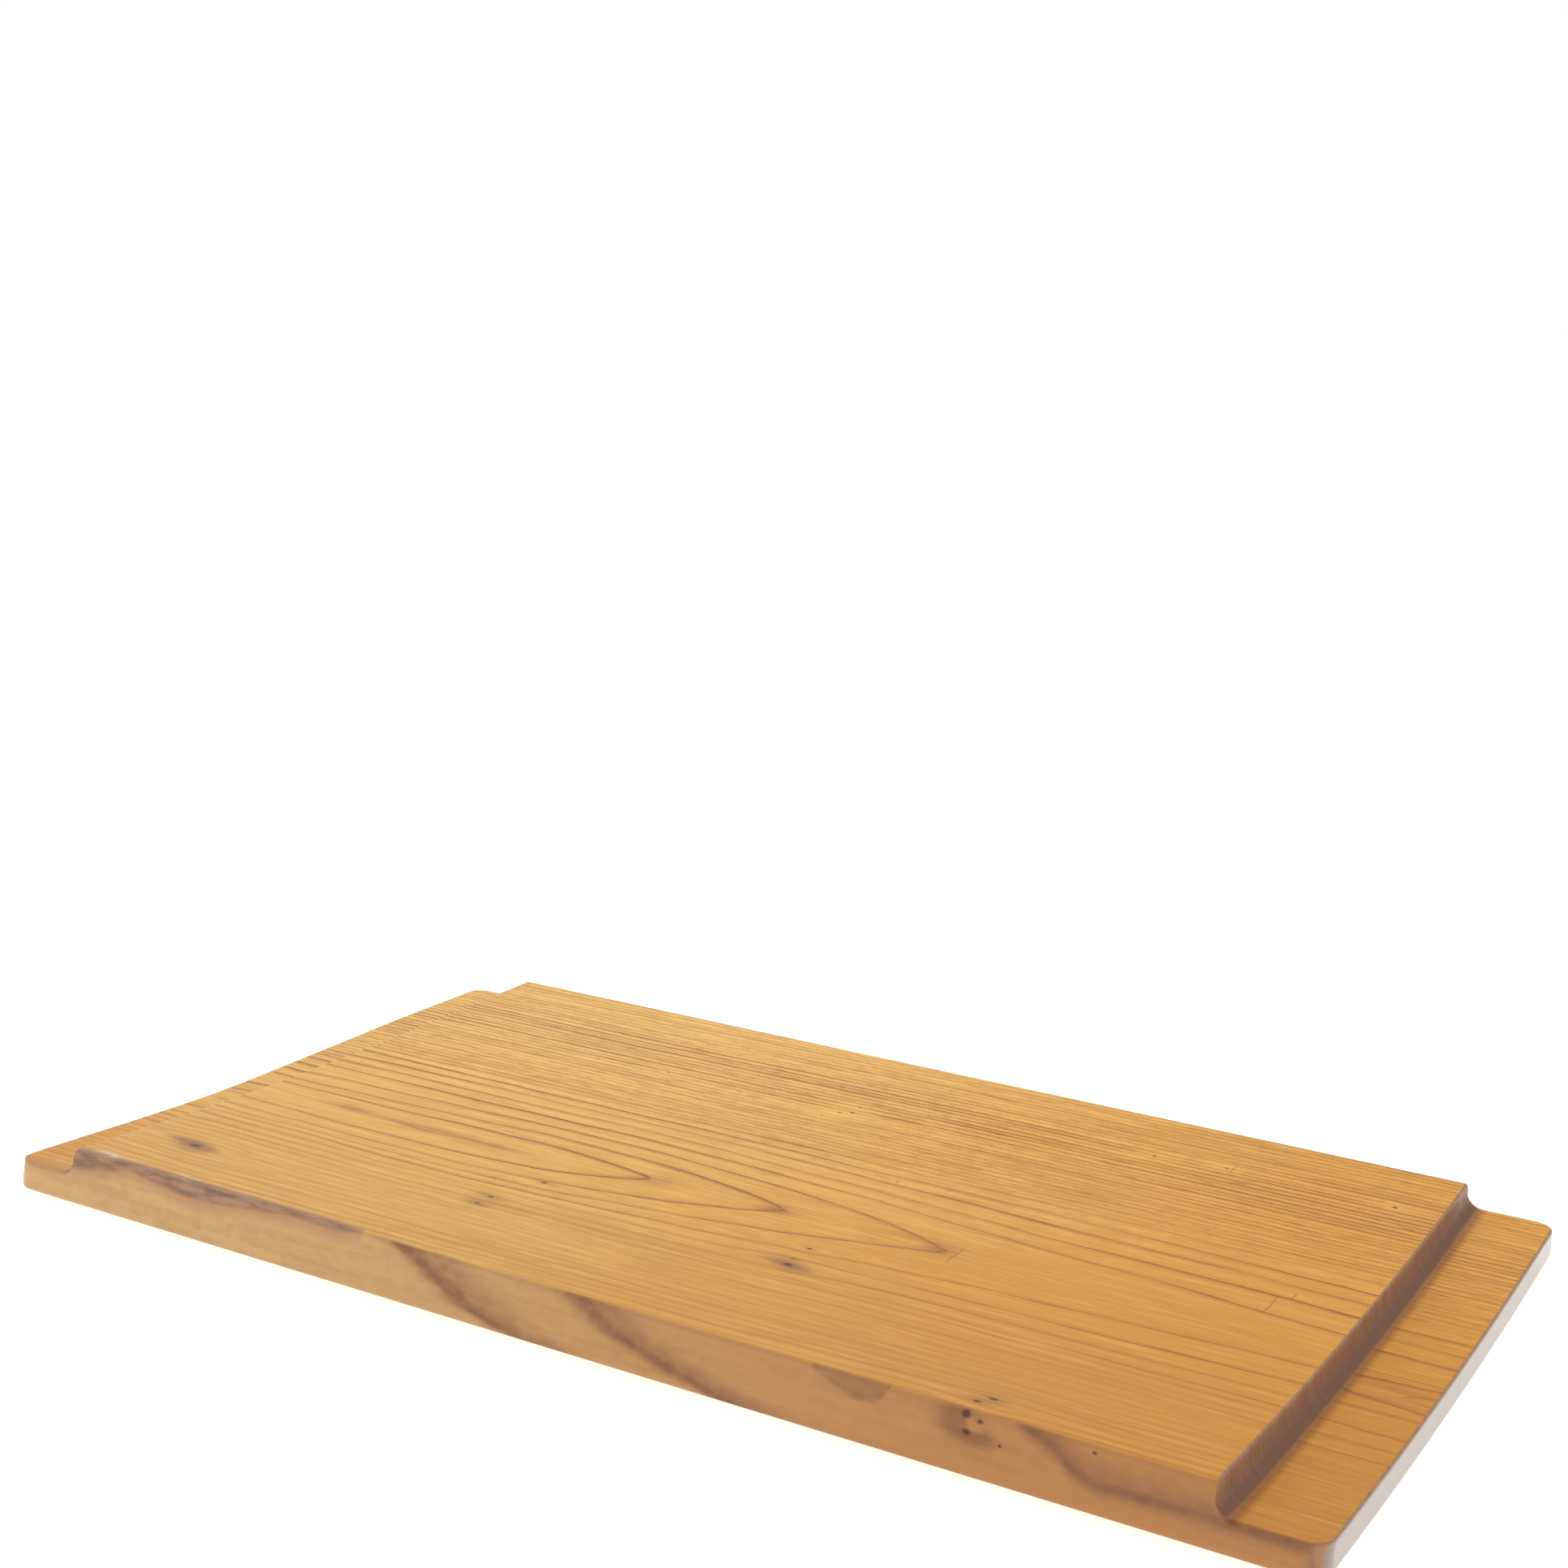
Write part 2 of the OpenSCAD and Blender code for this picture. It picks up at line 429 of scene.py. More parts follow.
# x, y, half length, half width and strength of the worn pale places along the near arris
WORN = (
    (-188, -118.6, 9, 0.9, 0.5), (-184, -119.2, 2.0, 0.8, 1.2), (-150, -118.6, 5, 0.7, 0.7),
    (-170, -119, 12, 0.6, 0.35), (-135, -119, 8, 0.6, 0.45), (-112, -119.5, 10, 0.5, 0.35),
)
# x, depth below the highest edge and radius of the pins in the near long side
SIDE_PINS = (
    (127.2, 1.4, 0.9), (131.4, 2.4, 0.7), (127.9, 6.1, 0.8), (137.8, 7.2, 0.35),
    (163.8, 1.8, 0.45),
)
# x, and y of the start and the end of the fine scratches
SCRATCHES = ((170.6, 2.8, -10.4), (174.5, 8, 3), (77, -18, -34), (34, 20, 17), (125, 94, 87))
# x, y and radius of the dark specks in the far half, which have pale wood round them
SPECKS = (
    (-9, 72, 0.5), (-9, 66, 0.7), (-13, 64, 0.5), (98, 87, 0.6), (123, 90, 0.6),
    (181, 89, 0.8), (-17, 58, 0.4), (-86, 64, 0.4),
)


def through(x, xs, ys):
    """Smooth curve through a few points: on each span a cubic that takes the points' heights and
    the slopes between their neighbours."""
    xs, ys = np.asarray(xs, float), np.asarray(ys, float)
    slope = np.gradient(ys, xs)
    i = np.clip(np.searchsorted(xs, x) - 1, 0, len(xs) - 2)
    h = xs[i + 1] - xs[i]
    t = np.clip((x - xs[i]) / h, 0, 1)
    return (
        (1 + 2 * t) * (1 - t) ** 2 * ys[i] + t * (1 - t) ** 2 * h * slope[i]
        + t**2 * (3 - 2 * t) * ys[i + 1] - t**2 * (1 - t) * h * slope[i + 1]
    )


def growth(x, y):
    """Count of growth lines crossed from the heart of the arched figure, in millimetres of x and
    y: whole numbers are the dark lines. Inside the third line it is a power of the distance from
    the axis, so that the lines close in points along the grain; outside it climbs evenly between
    the lines drawn by their distances at the stations."""
    for kx, ky, _, size, strength in KNOTS:
        near = np.exp(-(((x - kx) / (2.2 * size)) ** 2) - ((y - ky) / (1.1 * size)) ** 2)
        y = y - 0.75 * strength * near * (y - ky)
    wander = 0.7 * np.sin(x / 31 + y / 19) + 0.5 * np.sin(x / 17 - y / 13 + 2)
    wander = wander + 0.3 * np.sin(x / 7.3 + y / 5)
    y = y + wander * np.interp(y, (10, 40), (0.6, 0.2))
    heart = through(x, *HEART)
    out = np.empty_like(x)
    for above, lines, beyond, power in (
        (True, LINES_ABOVE, 2.9, 1.35 + 0.004 * x),
        (False, LINES_BELOW, 3.9, np.clip(1.6 - 0.009 * x, 1, 3)),
    ):
        d = np.abs(y - AXIS)
        rows = [through(x, STATIONS, line) for line in lines]
        inner = heart + (3 - heart) * np.clip(d / rows[0], 0, 1) ** power
        for near_line, far_line in zip(rows[:-1], rows[1:]):
            inner = inner + np.clip((d - near_line) / (far_line - near_line), 0, 1)
        tail = np.maximum(d - rows[-1], 0) / beyond
        inner = inner + tail + 0.12 * np.sin(tail * 1.9) * np.clip(tail, 0, 1)
        out = np.where((y > AXIS) == above, inner, out)
    return out


# Depth below the highest edge, and x of a long side's two slanting dark bands, in millimetres
SLANTING_BANDS = (
    ((0, 3.4, 6.6, 10, 13.3, 15, 17, 22), (-63, -55, -48, -41, -34, -26, -17, 8)),
    ((0, 3.4, 7.5, 10.3, 12.9, 15, 17, 22), (0, 7, 15, 27, 37, 46, 55, 80)),
)
# x, and depth of the third band, which turns and runs along the board
TURNING_BAND = ((138, 146, 153, 158, 164, 170, 200, 226), (-4, 1.3, 4, 7.6, 9.6, 10, 10, 10))
# x, and depth of the lower edge of the wane and of the leaf-shaped figure
WANE_EDGE = (
    (-205, -197, -183, -176, -164, -150, -139, -128, -113, -100, -85, -76),
    (6.5, 5.6, 3.6, 1.6, 2.6, 4.4, 4.5, 3.0, 1.6, 0.9, 1.2, -1.0),
)
LEAF_EDGE = (
    (79, 82, 86, 90, 94, 98, 101, 103.5, 105),
    (-1, 0.8, 2.6, 4.0, 4.9, 5.0, 4.2, 2.2, -1),
)
# x, depth, half length, half height and strength of the stain round the near side's pins; the
# last one is the clean wood in its middle
SIDE_STAIN = ((125, 3.5, 6.5, 4.2, 1.2), (132, 6.8, 6, 2.6, 0.9), (129.6, 4.0, 2.2, 1.6, -1.3))
OFF_THE_MARK = -9.0  # distance given where a long side's mark can't be


def side_bands(x, depth):
    """Distances to the three dark bands of a long side, in millimetres, positive on the side
    where the band fades slowly: each slanting band is an x that depends on the depth, and its
    slope takes 0.4 of the distance along x; the last one is a depth that depends on x."""
    rows = [0.4 * (x - through(depth, *band)) for band in SLANTING_BANDS]
    rows.append((through(x, *TURNING_BAND) - depth) * 1.3 - 3 * np.maximum(140 - x, 0))
    return rows


def bell(x, y, cx, cy, wide, high):
    """Round hill of height 1, falling as a Gauss curve."""
    return np.exp(-(((x - cx) / wide) ** 2) - ((y - cy) / high) ** 2)


def bells(x, y, rows):
    """Sum of the hills in rows of x, y, half length, half width and strength."""
    return sum(k * bell(x, y, cx, cy, wide, high) for cx, cy, wide, high, k in rows)


def knot_stain(x, y):
    """Stain round the pin knots: a hill on each heart and two longer ones along the grain."""
    return sum(
        k * (
            0.8 * bell(x, y, kx, ky, 1.1 * r, 0.6 * r)
            + 0.45 * bell(x, y, kx - 1.1 * r, ky + 0.3 * r, 1.1 * r, 0.35 * r)
            + 0.35 * bell(x, y, kx + 0.9 * r, ky - 0.25 * r, 0.9 * r, 0.35 * r)
        )
        for kx, ky, _, r, k in KNOTS
    )


def rising(value, start, run):
    """0 up to the start, then a straight rise to 1 over the run."""
    return np.clip((value - start) / run, 0, 1)


def grow(co, normal, s):
    """The wood's figure at every vertex, each part from the formulas above.

    growth, growth_gap: count of growth lines, and millimetres from one to the next.
    vigour, figure: how strongly the lines and the darker figures show.
    band_left, band_middle, band_right, wane, leaf: distances to the long sides' marks, in
    millimetres, positive inside the wane and the leaf.
    side_face, end_face, cove, shaded, outer_end: 0 to 1, for a long side, end grain, painted shade
    in the bottom of a cove, painted shadow on the handle beside the step, and a handle's outer
    end.
    halo, glow, worn: stain of the knots, pale wood round the specks, and wear on the near arris
    with a painted highlight along the left end's arris."""
    x, y, z = (co * 1000).T
    reach = np.abs(x)
    nx, ny, nz = normal.T
    depth = s.full_height * 1000 - z
    level = level_of(y * MM, z * MM, s) * 1000

    flat_x = x + np.sign(x) * np.clip(depth - 6, 0, 40) * 1.5
    flat_y = y * (1 + 0.10 * np.clip(-nz, 0, 1))
    phase = growth(flat_x, flat_y)
    slope_y = growth(flat_x, flat_y + 0.4) - phase
    slope_x = growth(flat_x + 0.4, flat_y) - phase
    gap = 1 / np.maximum(np.hypot(slope_y, slope_x) / 0.4, 0.03)
    vigour = through(y, *LINE_VIGOUR) * np.interp(x, (196, 204), (1, 0.85))

    near_side = rising(-y, 119.5, 2.5)
    halo = knot_stain(x, y) + near_side * np.clip(bells(x, depth, SIDE_STAIN), 0, 1)
    glow = sum(bell(x, y, px, py, 9, 3) for px, py, _ in SPECKS)
    # Painted highlight: a pale line along the left end's upper arris, in place of its reflection
    # of the bright surroundings.
    left_arris_highlight = (x < -188) * (level > 16.8) * rising(-nx, 0.1, 0.2)
    wear_and_highlight = bells(x, y, WORN) + 0.32 * left_arris_highlight

    on_left_end = (x < -215) & (level < 9)
    start, run = np.where(on_left_end, 0.75, 0.10), np.where(on_left_end, 0.2, 0.42)
    end = rising(np.abs(nx), start, run)
    above_handle = rising(level, 9.52, 0.25) * (level < 17.2) * (reach > 185)
    step = above_handle * rising(np.hypot(nx, nz), 0.5, 0.3)
    beside = rising(-reach, -203.7, 2.0) * (reach > 190) * (level < 10.2) * (nz > 0.3)

    over_edge = (-y - 119.3) * 3
    wane = np.minimum(through(x, *WANE_EDGE) - depth, over_edge)
    leaf = np.minimum(through(x, *LEAF_EDGE) - depth, over_edge)
    bands = side_bands(np.where(y < 0, x, 30 - x), depth)
    return {
        "growth": phase,
        "growth_gap": gap,
        "vigour": vigour,
        "figure": np.clip(bells(x, y, FIGURES), 0, 1),
        "band_left": bands[0],
        "band_middle": bands[1],
        "band_right": bands[2],
        "side_face": rising(np.abs(ny), 0.14, 0.42),
        "end_face": np.maximum(end, step),
        # Painted shade: darker towards the bottom of the cove.
        "cove": step * rising(-level, -15.5, 4.5),
        "shaded": beside,
        "outer_end": (reach > 215) * rising(np.abs(nx), 0.7, 0.2),
        "halo": np.clip(halo, 0, 1),
        "glow": np.clip(glow, 0, 1),
        "wear_and_highlight": np.clip(wear_and_highlight, 0, 2),
        "wane": np.where((y < 0) & (x < -76), wane, OFF_THE_MARK),
        "leaf": np.where((y < 0) & (x > 79) & (x < 105.5), leaf, OFF_THE_MARK),
    }


# ---------------------------------------------------------------- finish


class Wire:
    """A shader socket that takes part in Python sums; every operation on it adds a Math node."""

    def __init__(self, sheet, socket):
        self.sheet, self.socket = sheet, socket

    def _maths(self, operation, *values, clamp=False):
        sockets = dict(enumerate(values))
        return self.sheet.add("ShaderNodeMath", sockets, operation=operation, use_clamp=clamp)

    def __add__(self, other): return self._maths("ADD", self, other)
    def __radd__(self, other): return self._maths("ADD", other, self)
    def __sub__(self, other): return self._maths("SUBTRACT", self, other)
    def __rsub__(self, other): return self._maths("SUBTRACT", other, self)
    def __mul__(self, other): return self._maths("MULTIPLY", self, other)
    def __rmul__(self, other): return self._maths("MULTIPLY", other, self)
    def __truediv__(self, other): return self._maths("DIVIDE", self, other)
    def __rtruediv__(self, other): return self._maths("DIVIDE", other, self)
    def __abs__(self): return self._maths("ABSOLUTE", self)

    def fraction(self): return self._maths("FRACT", self)
    def whole(self): return self._maths("ROUND", self)
    def held(self): return self._maths("ADD", self, 0.0, clamp=True)
    def over(self, other): return self._maths("MAXIMUM", self, other)


class FinishSheet:
    """Builds one material's node tree."""

    def __init__(self, name):
        self.material = bpy.data.materials.new(name)
        self.material.use_nodes = True
        self.tree = self.material.node_tree
        self.tree.nodes.clear()
        self.place = self.add("ShaderNodeTexCoord", out="Object")

    def add(self, kind, sockets=None, out=0, **settings):
        """Adds a node: its settings first, then the values or wires of its sockets."""
        node = self.tree.nodes.new(kind)
        for key, value in settings.items():
            setattr(node, key, value)
        for key, value in (sockets or {}).items():
            if isinstance(value, Wire):
                self.tree.links.new(value.socket, node.inputs[key])
            else:
                node.inputs[key].default_value = value
        return Wire(self, node.outputs[out]) if node.outputs else node

    def grown(self, name):
        """A number that the mesh carries."""
        return self.add("ShaderNodeAttribute", out="Fac", attribute_name=name)

    def noise(self, scale, detail, turn=(0, 0, 0)):
        """Noise on the object's own coordinates, with a scale per axis."""
        at = self.add(
            "ShaderNodeMapping", {"Vector": self.place, "Scale": scale, "Rotation": turn}
        )
        return self.add("ShaderNodeTexNoise", {"Vector": at, "Scale": 1.0, "Detail": detail})

    def ease(self, value, start, stop, low=0.0, high=1.0):
        """Smooth step of value from start to stop, giving low to high."""
        ends = {"From Min": start, "From Max": stop, "To Min": low, "To Max": high}
        return self.add(
            "ShaderNodeMapRange", {"Value": value, **ends}, interpolation_type="SMOOTHSTEP"
        )

    def finish(self, kind, sockets):
        """Adds the shader and joins it to the material's output."""
        self.add("ShaderNodeOutputMaterial", {"Surface": self.add(kind, sockets)})

    def blend(self, factor, a, b, how="MIX"):
        """Mix of two colours, whose sockets are the Mix node's seventh and eighth."""
        return self.add(
            "ShaderNodeMix", {0: factor, 6: a, 7: b}, out=2, data_type="RGBA", blend_type=how
        )


def line_at(sheet, count, half_width):
    """A growth line: 1 on whole numbers of the count, easing to 0 a half width away."""
    away = abs(count.fraction() - 0.5)
    return sheet.ease(away, 0.5 - half_width, 0.5)


def paint(rgb, part=1.0):
    """A part of a colour, with its alpha."""
    return (*(part * value for value in rgb), 1.0)


class Grain:
    """Places and noises that the parts of the wood share."""

    def __init__(self, sheet):
        self.x, self.y = (
            sheet.add("ShaderNodeSeparateXYZ", {0: sheet.place}, out=axis) for axis in "XY"
        )
        self.fibre = sheet.noise((38, 600, 600), 4.0)
        self.streak = sheet.noise((5, 90, 90), 3.0)
        self.cloud = sheet.noise((7, 13, 13), 3.0)
        self.mottle = sheet.noise((230, 230, 330), 3.0)
        self.rough_edge = sheet.noise((110, 520, 520), 4.0)


def growth_lines(sheet, g):
    """How much late wood shows on the flat faces: a crisp core on each whole count and a soft
    shadow beside it, whose strength changes from line to line and along each line."""
    gap = sheet.grown("growth_gap")
    tremble = sheet.noise((22, 190, 190), 3.0) - 0.5
    feather = sheet.noise((170, 420, 420), 2.0) - 0.5
    count = sheet.grown("growth") + (tremble * 0.9 + feather * 0.8) / gap
    ring = sheet.add("ShaderNodeCombineXYZ", {0: count.whole() * 7.3, 1: g.x * 7.0})
    strength = sheet.add("ShaderNodeTexNoise", {"Vector": ring, "Scale": 1.0, "Detail": 1.0})
    strength = sheet.ease(strength, 0.32, 0.68, 0.5, 1.0) * sheet.grown("vigour")
    broken = sheet.ease(sheet.noise((34, 420, 420), 3.0), 0.36, 0.56, 0.6, 1.0)
    core = line_at(sheet, count, (0.75 / gap).over(0.015)) * broken
    soft = line_at(sheet, count + 0.5 / gap, (2.2 / gap).over(0.12))
    return core * strength * 0.82 + soft * strength * 0.36


def open_pores(sheet, g):
    """Short and long pores along the grain, which show most in the far half."""
    short = sheet.ease(sheet.noise((230, 1150, 1150), 1.0, turn=(0, 0, 0.12)), 0.55, 0.68)
    long = sheet.ease(sheet.noise((75, 900, 900), 2.0), 0.54, 0.68)
    far_half = sheet.ease(g.y, -0.01, 0.045)
    return (short * 0.6 + long * 0.7) * (0.25 + far_half * 0.55)


def flat_faces(sheet, f, g, lines, pores):
    """Wood of the flat faces: pale to warm along x, partly painted sheen of the light from the far
    left; darkened by painted shade towards the near edge and on the right handle; tinted on the
    near left corner, streaked by its fibres, then marked by growth lines, pores, figures, specks
    and scratches."""
    x, y, fibre, streak, cloud = g.x, g.y, g.fibre, g.streak, g.cloud
    # Pale at the left to warm at the right: partly the wood's tone, partly painted sheen of the
    # light from the far left.
    tone = sheet.ease(x + cloud * 0.10 - 0.05, -0.14, 0.20)
    wood = sheet.blend(tone, paint(f.pale_wood), paint(f.warm_wood))
    # The first three tints are painted shade, where the light from the far left falls off towards
    # the near edge and the right handle; the last one tints the near left corner.
    for where, tint in (
        (sheet.ease(y + cloud * 0.03, 0.105, -0.015), f.near_half_shade_tint),
        (sheet.ease(y, -0.04, -0.10), f.near_edge_shade_tint),
        (sheet.ease(x, 0.197, 0.209) * sheet.ease(y, 0.09, 0.0), f.handle_shade_tint),
        (sheet.ease(x, -0.200, -0.222) * sheet.ease(y, -0.05, -0.09), f.corner_tint),
    ):
        wood = sheet.blend(where, wood, paint(tint), "MULTIPLY")
    dark_fibre = ((fibre - 0.5) * 1.3 + (streak - 0.5) * 0.55 + 0.11).held()
    wood = sheet.blend(dark_fibre, wood, paint(f.warm_wood, 0.6))
    wood = sheet.blend(((0.47 - fibre) * 2.2).held() * 0.5, wood, paint(f.pale_fibre))
    wood = sheet.blend((lines * 0.85).held(), wood, paint(f.growth_line))
    wood = sheet.blend(pores * 0.6, wood, paint(f.growth_line))
    broken = sheet.ease(fibre + (streak - 0.5) * 0.6, 0.34, 0.58, 0.40, 1.0)
    figure = sheet.grown("figure") * broken
    wood = sheet.blend((figure * 0.75).held(), wood, paint(f.growth_line))
    wood = sheet.blend(sheet.grown("glow") * 0.35, wood, paint(f.speck_glow))
    for place, start, stop in SCRATCHES:
        middle, span = (start + stop) / 2 * MM, abs(start - stop) * MM
        along = sheet.ease(abs(y - middle), span / 2, span / 3)
        off = abs(x - place * MM + (fibre - 0.5) * 0.0015)
        scratch = along * sheet.ease(off, 0.0005, 0.0001)
        wood = sheet.blend(scratch * 0.6, wood, paint(f.growth_line))
    return wood


def long_sides(sheet, f, g):
    """Wood of the long sides: pale to ruddy along x, mottled, with three dark bands, each a line
    with a stain that fades on one side of it, and the leaf-shaped figure."""
    mottle = g.mottle
    ruddy = sheet.ease(g.x + g.cloud * 0.1, -0.12, 0.22)
    wood = sheet.blend(ruddy, paint(f.side_wood), paint(f.ruddy_wood))
    grainy = sheet.noise((18, 300, 420), 4.0)
    dark = ((grainy - 0.40) * 0.7 + (mottle - 0.5) * 0.5).held()
    wood = sheet.blend(dark, wood, paint(f.ruddy_wood, 0.6))
    wobble = (mottle - 0.5) * 0.7 + (sheet.noise((45, 45, 90), 2.0) - 0.5) * 4.0
    for band, unevenness in (("band_left", 1.0), ("band_middle", 1.0), ("band_right", 0.5)):
        apart = sheet.grown(band) + wobble * unevenness
        zone = sheet.ease(apart, -5.0, 0.5) * sheet.ease(apart, 13.0, 1.0)
        wood = sheet.blend((zone * (0.25 + mottle * 0.8)).held(), wood, paint(f.halo_wood))
        core = sheet.ease(abs(apart - 0.6), 2.8, 0.2) * (0.25 + mottle)
        wood = sheet.blend((core * 0.7).held(), wood, paint(f.side_line))
    leaf = sheet.grown("leaf") + (mottle - 0.5) * 0.8
    inside = sheet.ease(leaf, -0.8, 1.6) * (0.20 + mottle * 0.7)
    wood = sheet.blend(inside, wood, paint(f.leaf_wood))
    outline = sheet.ease(abs(leaf), 1.7, 0.0) * (mottle * 0.8)
    return sheet.blend(outline, wood, paint(f.side_line))


def end_grain(sheet, f):
    """End grain, streaked, with painted shade that darkens the bottom of the coves."""
    streaks = ((sheet.noise((30, 420, 30), 3.0) - 0.42) * 1.8).held()
    wood = sheet.blend(streaks, paint(f.end_wood), paint(f.end_wood, 0.5))
    return sheet.blend(sheet.grown("cove") * 0.75, wood, paint(f.cove_shade_wood))


KNOT_HEIGHT = 0.019  # height of the middles of the flat faces' pins, in metres
PIN_INSET = 0.002  # how far inside the near long side its pins have their middles


def pin_at(sheet, middle, stretch, ragged, outer, inner):
    """Heart of a pin: 1 as far as the inner radius, easing to 0 at the outer one. Each axis of the
    distance from its middle is multiplied by a stretch, and a ragged number is added to it."""
    off = sheet.add("ShaderNodeVectorMath", {0: sheet.place, 1: middle}, operation="SUBTRACT")
    off = sheet.add("ShaderNodeVectorMath", {0: off, 1: stretch}, operation="MULTIPLY")
    far = sheet.add("ShaderNodeVectorMath", {0: off}, out="Value", operation="LENGTH")
    return sheet.ease(far + ragged, outer, inner)


def dark_pins(sheet, g):
    """Hearts of all the pin knots and specks on the flat faces, and of the near side's pins."""
    face = LOW.y + PIN_INSET
    hearts = []
    for kx, ky, r, *_ in KNOTS + SPECKS:
        middle, r = (kx * MM, ky * MM, KNOT_HEIGHT), r * MM
        ragged = (g.fibre - 0.5) * (r * 0.9)
        hearts.append(pin_at(sheet, middle, (0.62, 1.0, 0.12), ragged, r * 1.15, r * 0.45))
    for px, depth, r in SIDE_PINS:
        middle, r = (px * MM, face, HIGH.z - depth * MM), r * MM
        ragged = (g.mottle - 0.5) * (r * 1.2)
        hearts.append(pin_at(sheet, middle, (0.75, 0.3, 1.0), ragged, r * 1.6, r * 0.5))
    pins = hearts[0]
    for heart in hearts[1:]:
        pins = pins.over(heart)
    return pins


def lacquered_wood(f):
    """Lacquered wood: flat faces, long sides and end grain, each where the mesh says, under the
    stains, the pins, the wane, the wear on the near arris and the painted highlight on the left
    arris."""
    sheet = FinishSheet("lacquered_wood")
    g = Grain(sheet)
    side, end = sheet.grown("side_face"), sheet.grown("end_face")
    lines, pores, pins = growth_lines(sheet, g), open_pores(sheet, g), dark_pins(sheet, g)
    wood = sheet.blend(side, flat_faces(sheet, f, g, lines, pores), long_sides(sheet, f, g))
    wood = sheet.blend(sheet.grown("shaded") * 0.6, wood, paint(f.shaded_wood))
    wood = sheet.blend(end, wood, end_grain(sheet, f))

    stain = sheet.grown("halo") * (g.streak * 0.7 + g.fibre * 1.3 - 0.05)
    stained = sheet.blend(side, paint(f.knot_stain), paint(f.halo_wood))
    wood = sheet.blend(sheet.ease(stain, 0.03, 0.95) * 0.85, wood, stained)
    wood = sheet.blend(pins * 0.92, wood, paint(f.knot_wood))

    reach = sheet.grown("wane") + (g.rough_edge - 0.5) * 1.4
    wood = sheet.blend(sheet.ease(reach, -5.5, 0.5) * 0.5, wood, paint(f.bruised_wood))
    wane = sheet.ease(reach, -1.3, 1.3)
    ridges = sheet.ease(g.rough_edge, 0.35, 0.65)
    bark = sheet.blend(ridges, paint(f.wane_wood), paint(f.wane_wood, 0.5))
    wood = sheet.blend(wane * 0.78, wood, bark)
    wood = sheet.blend(sheet.ease(abs(reach), 0.9, 0.0) * 0.15, wood, paint(f.side_line))

    flaked = sheet.ease(g.rough_edge + (g.fibre - 0.5) * 0.5, 0.40, 0.60)
    # Worn places on the near arris and the painted highlight along the left end's arris, both
    # paled with the same colour.
    wear_and_highlight = (sheet.grown("wear_and_highlight") * flaked).held()
    wood = sheet.blend(wear_and_highlight * 0.8, wood, paint(f.chip_and_highlight_wood))
    # Painted sheen on the handles' outer ends: pale grey over the end grain, with a thicker real
    # lacquer coat over it.
    outer = sheet.grown("outer_end") * end
    wood = sheet.blend(outer * 0.8, wood, paint(f.outer_end_sheen))

    relief = g.fibre * 0.5 - lines * 0.6 - pores * 0.5 - pins * 1.5 + g.streak * 0.4
    relief = relief - wane * g.rough_edge * 3.0
    sheet.finish("ShaderNodeBsdfPrincipled", {
        "Base Color": wood,
        "Roughness": 0.44 + (g.cloud - 0.5) * 0.16 + lines * 0.05 + end * 0.05,
        "Normal": sheet.add(
            "ShaderNodeBump", {"Height": relief, "Strength": 0.35, "Distance": 0.00012},
            out="Normal",
        ),
        "IOR": 1.5,
        "Specular IOR Level": 0.14,
        "Coat Weight": outer * 0.8 + f.coat,
        "Coat Roughness": f.coat_roughness,
        "Coat IOR": 1.5,
    })
    return sheet.material


# ---------------------------------------------------------------- operators


SAME_PLACE = 2e-6  # vertices closer than this, in metres, are one


class TRAY_OT_carve_plank(bpy.types.Operator):
    """Carve the tray from one plank: upper and lower surface joined at the waist, with the
    growth of the tree carried on every vertex"""

    bl_idname = "tray.carve_plank"
    bl_label = "Carve the plank"

    def execute(self, context):
        s = context.scene.tray_sizes
        grid, waist_lap = upper_surface(s)
        rows, cols = grid.shape[:2]
        number = np.arange(rows * cols).reshape(rows, cols)
        flank = ARRIS_STEPS + SIDE_STEPS
        ends = np.linspace(1, -1, ACROSS)[1:-1]
        loops = lower_surface(waist_lap, ends, s)
        inner = number[:, flank:-flank]
        rim = np.concatenate([number[:, 0], inner[-1], number[::-1, -1], inner[0, ::-1]])
        count, around_points = loops.shape[:2]
        below = np.arange(count * around_points).reshape(count, -1) + rows * cols
        below = np.concatenate([rim[None], below])
        below = np.concatenate([below, below[:, :1]], 1)
        co = hand_planed(np.concatenate([grid.reshape(-1, 3), loops.reshape(-1, 3)]), s)
        mesh = bpy.data.meshes.new("tray_plank_carved")
        faces = np.concatenate([quads(number), quads(below)])
        mesh.from_pydata(co.tolist(), [], faces.tolist())
        bm = bmesh.new()
        bm.from_mesh(mesh)
        bmesh.ops.remove_doubles(bm, verts=bm.verts, dist=SAME_PLACE)
        bmesh.ops.recalc_face_normals(bm, faces=bm.faces)
        open_edges = sum(1 for edge in bm.edges if len(edge.link_faces) != 2)
        bm.to_mesh(mesh)
        bm.free()
        if open_edges:
            raise RuntimeError(f"{open_edges} edges of the plank don't join two faces")
        mesh.shade_smooth()
        co = np.empty(len(mesh.vertices) * 3, np.float32)
        normal = np.empty_like(co)
        mesh.vertices.foreach_get("co", co)
        mesh.vertices.foreach_get("normal", normal)
        figure = grow(co.reshape(-1, 3).astype(float), normal.reshape(-1, 3), s)
        for name, value in figure.items():
            carried = mesh.attributes.new(name, "FLOAT", "POINT")
            carried.data.foreach_set("value", value.astype(np.float32))
        mesh.materials.append(lacquered_wood(context.scene.lacquer_finish))
        plank = bpy.data.objects.new("tray_plank_carved", mesh)
        context.scene.collection.objects.link(plank)
        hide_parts("tray_plank")
        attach(plank, "root")
        return {"FINISHED"}


